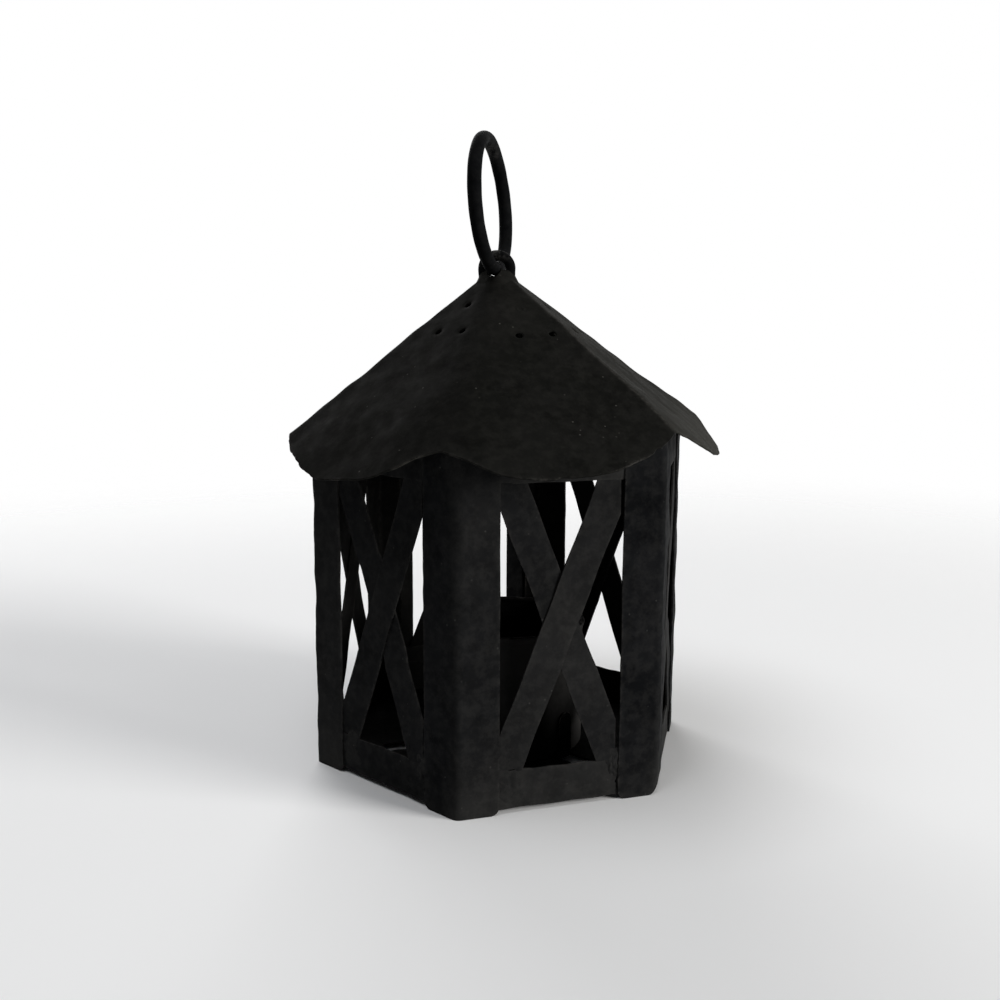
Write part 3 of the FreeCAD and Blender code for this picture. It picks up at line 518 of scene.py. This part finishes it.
def tube(name, path, radius, binormal, matrix, wear, loop=False, around=WIRE_SIDES):
    """A round wire along a plane curve: P + r (cos a N + sin a B), with N = B x T."""
    step = np.roll(path, -1, 0) - np.roll(path, 1, 0) if loop else np.gradient(path, axis=0)
    tangent = step / np.linalg.norm(step, axis=1, keepdims=True)
    b = np.broadcast_to(np.asarray(binormal, float), path.shape)
    b = b - (b * tangent).sum(1, keepdims=True) * tangent
    b = b / np.linalg.norm(b, axis=1, keepdims=True)
    n = np.cross(b, tangent)
    a = np.linspace(0, 2 * math.pi, around, endpoint=False)
    r = np.broadcast_to(radius, (len(path), around))[..., None]
    c, s = np.cos(a)[None, :, None], np.sin(a)[None, :, None]
    points = path[:, None] + r * (c * n[:, None] + s * b[:, None])
    poles = None if loop else put(matrix, np.stack([path[0], path[-1]]))
    return surface(name, put(matrix, points), round_way=True, loop=loop, poles=poles, wear=wear)


def eye():
    """The eye's wire: an arch, two legs, two knees and two feet along the facets, with rounded ends. The
    arch is swollen outwards by its paint."""
    slope = (math.pi / 2 - PITCH) / 2
    knee = (-EYE_ARCH * math.tan(PITCH) - (TIN + EYE_WIRE + EYE_SEAT) / math.cos(PITCH)
            + EYE_BEND * math.tan(slope))
    arc = np.radians(np.linspace(90, 0, 40))
    arch = np.stack([EYE_ARCH * np.cos(arc), EYE_ARCH * np.sin(arc) - EYE_DROP], -1)
    leg = np.stack([np.full(8, EYE_ARCH), np.linspace(-EYE_DROP, knee, 10)[1:-1]], -1)
    turn = np.linspace(math.pi, math.pi + (math.pi / 2 - PITCH), 16)
    bend = np.stack([EYE_ARCH + EYE_BEND + EYE_BEND * np.cos(turn), knee + EYE_BEND * np.sin(turn)], -1)
    toe = EYE_FOOT * (1 - (1 - np.linspace(0, 1, 30)[1:]) ** 2)
    foot = bend[-1] + toe[:, None] * np.array([math.cos(PITCH), -math.sin(PITCH)])
    half = np.vstack([arch, leg, bend, foot])
    full = np.vstack([half[::-1] * [-1, 1], half[1:]])
    run = np.concatenate([[0], np.cumsum(np.linalg.norm(np.diff(full, axis=0), axis=1))])
    end = np.clip(np.minimum(run, run[-1] - run) / EYE_WIRE, 0.02, 1)
    radius = EYE_WIRE * np.sqrt(1 - (1 - end) ** 2)
    swell = 0.32 * bump((run - run[-1] / 2) / 8)
    outwards = full + [0, EYE_DROP]
    aside = np.abs(outwards[:, :1]) / (outwards ** 2).sum(1, keepdims=True)
    full = full + swell[:, None] * outwards * aside
    path = np.stack([full[:, 0], 0 * full[:, 0], full[:, 1]], -1)
    wear = bump((run - run[-1] / 2) / 3.2)[:, None] + np.zeros((1, WIRE_SIDES))
    radius = (radius + swell)[:, None] * (1 + 0.02 * ripple(71, 5, run)[:, None])
    return tube("eye_wire", path, radius, (0, 1, 0), EYE_FRAME, wear)


def eye_fill():
    """Solder and paint in the roof's point, under the ring's wire and up the legs of the eye. Over a disc,
    in the eye's own frame, it follows the roof, but keeps c from the wire's middle: z0 - sqrt(c^2 - d^2),
    d across from it; beside the wire it rises in two lumps round the legs, before and behind the wire in
    two low ones."""
    a = np.radians(np.arange(0, 360, 3))[None]
    r = np.linspace(0.05, 1, 52)[:, None] * (POINT_HOLE + 3.0)
    x, y = r * np.cos(a), r * np.sin(a)
    beside_wire, wire_height = x - RING_ASIDE, RING_LIFT - EYE_DROP
    clear = RING_WIRE + 0.13 + 0.026 * y ** 2 * (0.6 + 0.4 * smooth(np.abs(beside_wire) / 1.9))
    saddle = wire_height - np.sqrt(np.maximum(clear ** 2 - beside_wire ** 2, 0))
    saddle = np.where(np.abs(beside_wire) < clear, saddle, wire_height)
    lump = bump((np.abs(x) - 4.3) / 1.7) * bump(y / 1.9)
    c, s = math.cos(math.radians(EYE_TURN)), math.sin(math.radians(EYE_TURN))
    slope = roof_height(x * c - y * s, x * s + y * c)
    slope += 0.45 * smooth((POINT_HOLE + 1.4 - r) / 2.4) - 0.25 * smooth((r - POINT_HOLE - 0.6) / 0.9)
    slope += 1.1 * bump((np.abs(y) - 5.6) / 1.7) * bump((beside_wire + 0.32 * y) / 2.4)
    top = np.minimum(saddle, slope * (1 - lump) - 0.9 * lump) + 0.03 * ripple(77, 3, x, y)
    points = np.concatenate([np.stack([x, y, top - 0.9], -1), np.stack([x, y, top], -1)[::-1]])
    poles = np.array([[0, 0, top[0].mean() - 0.9], [0, 0, top[0].mean()]])
    return surface("eye_solder", put(EYE_FRAME, points), round_way=True, poles=put(EYE_FRAME, poles),
                   tone=0.1)


def solder(name, place, x, z, wide, high, thick, seed):
    """A low lump of solder under paint on a side's panel: thick (1 - r^2)^0.8 over an uneven oval, r from 0
    to 1."""
    sunk, deep = 0.05, 0.2
    a = np.radians(np.arange(0, 360, 6))[None]
    c, s = np.cos(a), np.sin(a)
    r = np.sin(np.linspace(0.04, 1, 16) * math.pi / 2)[:, None]
    reach = 1 + 0.22 * ripple(seed, 2.2, c, s) + 0.08 * ripple(seed + 2, 0.8, c, s)
    rise = thick * (1 - r ** 2) ** 0.8 * (1 + 0.3 * ripple(seed + 1, 0.7, r * c, r * s))
    px, pz = x + wide * reach * r * c, z + high * reach * r * s
    front = np.stack([px, -SIDE_FACE - rise + sunk, pz], -1)
    back = np.stack([px, np.full(px.shape, -SIDE_FACE + deep), pz], -1)
    poles = np.array([[x, -SIDE_FACE - thick + sunk, z], [x, -SIDE_FACE + deep, z]])
    turn = spin("Z", 60 * place)
    points = put(turn, np.concatenate([front, back[::-1]]))
    return surface(name, points, round_way=True, poles=put(turn, poles), flip=True, tone=0.3)


def ring():
    """The ring's wire, a little out of round away from the eye, with a painted glint of bare metal colour
    inside near its top.
    """
    sides = 36
    t = np.radians(np.arange(0, 360, 1.5))
    away = (1 - np.cos(t)) / 2
    radius = RING_RADIUS + away * (0.6 + 0.2 * np.cos(2 * t + 0.6) + 0.1 * np.sin(5 * t))
    path = np.stack([radius * np.sin(t), -radius * np.cos(t), away * (0.15 * np.sin(2 * t) - 0.6)], -1)
    wire = RING_WIRE * (1 + 0.012 * ripple(75, 12, 20 * np.cos(t), 20 * np.sin(t)))[:, None]
    place = LEAN @ spin("Z", 59.2) @ move(y=RING_ASIDE, z=RING_LIFT - EYE_DROP) @ spin("X", -1.2)
    place = place @ move(z=RING_RADIUS) @ spin("X", 90)
    inner = np.abs((np.arange(sides) / sides * 360 + 180) % 360 - 180)[None]
    # Painted highlight: the wear attribute gives bare metal colour on the inner side near the top, where the
    # ring shows a glint.
    glint = 0.9 * bump((t[:, None] - math.pi + 0.3) / 0.2) * bump(inner / 50)
    return tube("ring_wire", path, wire, (0, 0, 1), place, glint, loop=True, around=sides)


def burr(name, turn):
    """A burr of bare metal along the cut edge of a tongue of the floor, made fully worn and bright so that
    it also stands for the edge's glint, a painted highlight: up one side, over a half circle and down."""
    half = TONGUE_WIDTH / 2
    shoulder = FLOOR_TOP + TONGUE_HEIGHT - half
    rise = np.linspace(FLOOR_TOP + 0.6, shoulder, 24)[:-1]
    bend = np.linspace(math.pi, 0, 30)
    y = np.hstack([np.full(23, -half), half * np.cos(bend), np.full(23, half)])
    z = np.hstack([rise, shoulder + half * np.sin(bend), rise[::-1]])
    path = np.stack([np.full(y.shape, CUP_RADIUS + TONGUE_GAP + TIN), y, z], -1)
    radius = 0.15 * (1 + 0.35 * ripple(230, 3, y, z)[:, None])
    return tube(name, path, radius, (1, 0, 0), spin("Z", turn), 1.0, around=10)


def paint(name, dark, light, dust, bare, rough, dusty, worn, specks, relief=0.00005):
    """Old matt paint on tin: two broad tones, stains, mottled dust, pale specks, bare metal where wear is
    high, and a faint grain in relief and roughness. The tone attribute also paints light and shade with the
    dust colour, and the wear attribute paints glints with the bare metal colour. The sizes of noise are in
    millimetres."""
    material = bpy.data.materials.new(name)
    material.use_nodes = True
    tree = material.node_tree
    nodes, links = tree.nodes, tree.links
    shader = nodes["Principled BSDF"]
    place = nodes.new("ShaderNodeTexCoord").outputs["Object"]

    def noise(size, detail, rough_=0.6):
        item = nodes.new("ShaderNodeTexNoise")
        item.inputs["Scale"].default_value = 1000 / size
        item.inputs["Detail"].default_value = detail
        item.inputs["Roughness"].default_value = rough_
        links.new(place, item.inputs["Vector"])
        return item.outputs["Fac"]

    def between(value, low, high, start=0.0, end=1.0):
        item = nodes.new("ShaderNodeMapRange")
        item.interpolation_type = "SMOOTHSTEP"
        for key, number in (("From Min", low), ("From Max", high), ("To Min", start), ("To Max", end)):
            item.inputs[key].default_value = number
        links.new(value, item.inputs["Value"])
        return item.outputs["Result"]

    def maths(kind, first, second):
        item = nodes.new("ShaderNodeMath")
        item.operation = kind
        item.use_clamp = True
        for socket, value in zip(item.inputs, (first, second)):
            if isinstance(value, float):
                socket.default_value = value
            else:
                links.new(value, socket)
        return item.outputs[0]

    def blend(factor, first, second):
        """A mix of colours: its sockets 0, 6 and 7 are the factor, A and B, and output 2 is the colour."""
        item = nodes.new("ShaderNodeMix")
        item.data_type = "RGBA"
        links.new(factor, item.inputs[0])
        for socket, value in ((item.inputs[6], first), (item.inputs[7], second)):
            if isinstance(value, tuple):
                socket.default_value = (*value, 1)
            else:
                links.new(value, socket)
        return item.outputs[2]

    colour = blend(between(noise(26, 3), 0.35, 0.66), dark, light)
    stain = between(noise(8, 6, 0.7), 0.48, 0.64, 0.0, 0.55)
    colour = blend(stain, colour, tuple(0.55 * v for v in dark))
    powder = maths("MULTIPLY", between(noise(3.2, 7, 0.7), 0.40, 0.66), dusty)
    tone = nodes.new("ShaderNodeAttribute")
    tone.attribute_name = "tone"
    # Tone: dust patches towards the dust colour, and on some sides painted light and painted shade.
    dust_and_light_patch = maths("MULTIPLY", tone.outputs["Fac"], between(noise(9, 6, 0.7), 0.34, 0.64, 0.72, 1.2))
    colour = blend(maths("ADD", powder, dust_and_light_patch), colour, dust)
    cells = nodes.new("ShaderNodeTexVoronoi")
    cells.inputs["Scale"].default_value = 1000 / 3.4
    links.new(place, cells.inputs["Vector"])
    dot = between(cells.outputs["Distance"], 0.05, 0.11, 1.0, 0.0)
    dot = maths("MULTIPLY", dot, between(noise(9, 2), 0.5, 0.62))
    colour = blend(maths("MULTIPLY", dot, specks), colour, tuple(2.2 * v for v in dust))
    edge = nodes.new("ShaderNodeAttribute")
    edge.attribute_name = "wear"
    chips = between(noise(2.2, 5, 0.7), 0.40, 0.62)
    # Bare metal where the wear attribute is high: real wear, and also painted glints on the ring and on the
    # floor tongues' burrs.
    bare_and_glint = maths("MULTIPLY", maths("MULTIPLY", edge.outputs["Fac"], chips), worn)
    colour = blend(bare_and_glint, colour, bare)
    links.new(colour, shader.inputs["Base Color"])
    shader.inputs["Specular IOR Level"].default_value = 0.005
    links.new(between(noise(4.5, 5, 0.65), 0.3, 0.7, rough - 0.07, rough + 0.1), shader.inputs["Roughness"])
    grain = nodes.new("ShaderNodeBump")
    grain.inputs["Strength"].default_value = 0.6
    grain.inputs["Distance"].default_value = relief
    rise = maths("ADD", maths("MULTIPLY", noise(0.9, 3), 0.5), maths("MULTIPLY", noise(5.5, 4), 0.5))
    links.new(rise, grain.inputs["Height"])
    links.new(grain.outputs["Normal"], shader.inputs["Normal"])
    return material


def shade(name, colour):
    """A plain pale surface of the studio."""
    material = bpy.data.materials.new(name)
    material.use_nodes = True
    shader = material.node_tree.nodes["Principled BSDF"]
    shader.inputs["Base Color"].default_value = (*colour, 1)
    shader.inputs["Roughness"].default_value = 0.9
    shader.inputs["Specular IOR Level"].default_value = 0.1
    return material


def lamp(name, direction, size, watts, colour):
    """A square soft light that looks at the lantern from a direction: azimuth and height in degrees."""
    light = bpy.data.lights.new(name, "AREA")
    light.shape = "SQUARE"
    light.size = size
    light.energy = watts
    light.color = colour
    azimuth, height = (math.radians(v) for v in direction)
    level = math.cos(height)
    away = Vector((math.cos(azimuth) * level, math.sin(azimuth) * level, math.sin(height)))
    item = bpy.data.objects.new(name, light)
    item.location = away * LAMP_DISTANCE + Vector((0, 0, LAMP_AIM))
    item.rotation_euler = away.to_track_quat("Z", "Y").to_euler()
    item.visible_camera = False
    bpy.context.scene.collection.objects.link(item)


def fade(material, near, far):
    """Let a floor's shade pass over into the white behind it between two distances from the middle of the
    lantern's foot."""
    nodes, links = material.node_tree.nodes, material.node_tree.links
    place = nodes.new("ShaderNodeTexCoord").outputs["Object"]
    away = nodes.new("ShaderNodeVectorMath")
    away.operation = "LENGTH"
    links.new(place, away.inputs[0])
    step = nodes.new("ShaderNodeMapRange")
    step.interpolation_type = "SMOOTHSTEP"
    step.inputs["From Min"].default_value = near
    step.inputs["From Max"].default_value = far
    links.new(away.outputs["Value"], step.inputs["Value"])
    clear = nodes.new("ShaderNodeBsdfTransparent")
    both = nodes.new("ShaderNodeMixShader")
    links.new(step.outputs["Result"], both.inputs[0])
    links.new(nodes["Principled BSDF"].outputs[0], both.inputs[1])
    links.new(clear.outputs[0], both.inputs[2])
    links.new(both.outputs[0], nodes["Material Output"].inputs["Surface"])


def studio():
    """A pale floor, a low soft key from the front right, a high one from the left, one from behind, and a
    world that is white for camera, glossy and transmission rays and dim for the others."""
    wide = 1500.0
    u, v = np.meshgrid(np.linspace(-wide, wide, 3), np.linspace(-wide, wide, 3))
    floor = surface("studio_floor", np.stack([u, v, np.full(u.shape, -0.03)], -1))
    floor.data.materials.append(shade("floor_shade", (0.86, 0.86, 0.86)))
    fade(floor.data.materials[0], 0.22, 0.75)
    lamp("key", (-40, 13), 0.6, 30, (1.0, 0.99, 0.97))
    lamp("top", (-165, 70), 1.1, 12, (0.97, 0.98, 1.0))
    lamp("rear", (90, 22), 1.2, 18, (1.0, 1.0, 1.0))
    world = bpy.data.worlds.new("studio")
    bpy.context.scene.world = world
    world.use_nodes = True
    nodes, links = world.node_tree.nodes, world.node_tree.links
    dim = nodes["Background"]
    dim.inputs["Color"].default_value = (0.93, 0.96, 1.0, 1)
    dim.inputs["Strength"].default_value = 0.06
    white = nodes.new("ShaderNodeBackground")
    white.inputs["Color"].default_value = (1, 1, 1, 1)
    white.inputs["Strength"].default_value = 1.0
    way = nodes.new("ShaderNodeLightPath")
    seen = way.outputs["Is Camera Ray"]
    for kind in ("Is Glossy Ray", "Is Transmission Ray"):
        larger = nodes.new("ShaderNodeMath")
        larger.operation = "MAXIMUM"
        links.new(seen, larger.inputs[0])
        links.new(way.outputs[kind], larger.inputs[1])
        seen = larger.outputs[0]
    both = nodes.new("ShaderNodeMixShader")
    links.new(seen, both.inputs[0])
    links.new(dim.outputs[0], both.inputs[1])
    links.new(white.outputs[0], both.inputs[2])
    links.new(both.outputs[0], nodes["World Output"].inputs[0])


def camera():
    """The photograph's view: from the right angle about the lantern's axis, looking slightly down."""
    lens = bpy.data.cameras.new("view")
    lens.sensor_width = SENSOR
    lens.lens = FOCAL * SENSOR
    lens.clip_start = 0.01
    lens.clip_end = 50
    item = bpy.data.objects.new("view", lens)
    roll, pitch, pan, swing = (spin(axis, degrees)[:3, :3] for axis, degrees in (
        ("Z", CAMERA_ROLL), ("X", CAMERA_PITCH), ("Y", CAMERA_PAN), ("Z", CAMERA_TURN)))
    base = np.array([[1, 0, 0], [0, 0, -1], [0, 1, 0]], float)
    rows = roll @ pitch @ pan @ base @ swing
    matrix = np.eye(4)
    matrix[:3, :3] = np.stack([rows[0], -rows[1], -rows[2]], 1)
    matrix[:3, 3] = np.array([0, -CAMERA_DISTANCE, CAMERA_HEIGHT]) @ swing * MM
    item.matrix_world = Matrix(matrix.tolist())
    bpy.context.scene.collection.objects.link(item)
    bpy.context.scene.camera = item
    bpy.context.scene.view_settings.view_transform = "Standard"


SLOT = {item["node"]: item["material_slot"] for item in frame["record"]["subparts"]}
PAINT = {
    "tin_paint": paint(
        "tin_paint", (0.0042, 0.0045, 0.0050), (0.0078, 0.0081, 0.0087), (0.034, 0.0332, 0.0315),
        (0.050, 0.048, 0.045), 0.60, dusty=0.2, worn=0.3, specks=0.3),
    "roof_paint": paint(
        "roof_paint", (0.0055, 0.0055, 0.0049), (0.0078, 0.0077, 0.0070), (0.036, 0.035, 0.031),
        (0.090, 0.085, 0.077), 0.62, dusty=0.12, worn=0.4, specks=0.6),
    "wire_paint": paint(
        "wire_paint", (0.0026, 0.0028, 0.0031), (0.0045, 0.0047, 0.0050), (0.030, 0.029, 0.028),
        (0.100, 0.096, 0.090), 0.55, dusty=0.1, worn=0.6, specks=0.2, relief=0.00004),
    "inside_paint": paint(
        "inside_paint", (0.0030, 0.0030, 0.0030), (0.0060, 0.0060, 0.0058), (0.030, 0.029, 0.028),
        (0.080, 0.075, 0.070), 0.66, dusty=0.12, worn=0.4, specks=0.2),
}

# The last number given to each sheet, strip and lump of solder is the seed of its unevenness.
LAYERS = ((1, "front"), (-1, "back"))
own(roof(), "lantern_body", "roof")
for number in range(6):
    own(post(number), "lantern_body", f"{POSTS[number]}_post")
for number, side in enumerate(SIDES):
    span = (RAIL_INSET - HALF_SIDE, HALF_SIDE - RAIL_INSET)
    rail = flat_sheet(f"{side}_lower_rail", number, span, SIDE_FACE, RAIL_FOOT, RAIL_TOP, 100 + number,
                      split=None if number == REAR else CRACK_AT)
    own(rail, "lantern_body", f"{side}_bottom_rail")
    low = EAVES - (LINTEL if number == REAR else TOP_RAIL)
    own(flat_sheet(f"{side}_upper_rail", number, span, SIDE_FACE, low, None, 120 + number),
        "lantern_body", f"{side}_top_rail")
    if number != REAR:
        end = HALF_SIDE - FLANGE - STRIP_GAP
        for lean, layer in LAYERS:
            lath = strip(f"{side}_{layer}_lath", number, lean, SIDE_FACE, RAIL_TOP - STRIP_LAP,
                         EAVES - TOP_RAIL + STRIP_LAP, end, 140 + 4 * number + lean)
            own(lath, "lantern_body", f"{side}_{layer}_strip")
LINING = (HINGE_FLANGE + DOOR_SIDE_GAP - HALF_SIDE, HALF_SIDE - LATCH_FLANGE - DOOR_SIDE_GAP)
own(flat_sheet("door_lower_rail", REAR, LINING, DOOR_FACE, DOOR_FOOT, DOOR_FOOT + DOOR_RAIL, 170),
    "door", "door_bottom_rail")
own(flat_sheet("door_upper_rail", REAR, LINING, DOOR_FACE, DOOR_TOP - DOOR_RAIL, DOOR_TOP, 172),
    "door", "door_top_rail")
own(flat_sheet("door_latch_side", REAR, (HALF_SIDE - FLANGE, HALF_SIDE - LATCH_FLANGE + LATCH_LAP),
               DOOR_FACE + TIN, DOOR_FOOT, DOOR_TOP, 174), "door", "door_latch_stile")
for lean, layer in LAYERS:
    lath = strip(f"door_{layer}_lath", REAR, lean, DOOR_FACE, DOOR_FOOT + DOOR_RAIL - STRIP_LAP,
                 DOOR_TOP - DOOR_RAIL + STRIP_LAP, LINING[1], 180 + 4 * lean)
    own(lath, "door", f"door_{layer}_strip")
own(cup(), "lantern_body", "candle_cup")
own(eye(), "lantern_body", "hanging_eye")
own(ring(), "ring", "hanging_ring")
added = [(eye_fill(), "roof_paint")]
# Burrs on the floor tongues: bare cut edges whose bright colour is also a painted highlight.
for count, turn in enumerate((-60, 60, 180), 1):
    added.append((burr(f"tongue_burr_and_glint_{count}", turn), "wire_paint"))
for number, side in enumerate(SIDES):
    if number != REAR:
        for first_seed, (which, shape) in zip((200, 210), SOLDER.items()):
            lump = solder(f"{side}_solder_{which}", number, *shape, first_seed + number)
            added.append((lump, "tin_paint"))
for item, slot in added:
    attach(item, "lantern_body")
    item.data.materials.append(PAINT[slot])
for name in ("floor_plate", "hinge_pin", "hinge_lug_lower", "hinge_lug_upper", "latch_rivet", "turn_button",
             "door_hinge_stile"):
    node = frame["nodes"][name]
    node.data.materials.clear()
    node.data.materials.append(PAINT[SLOT[name]])
studio()
camera()
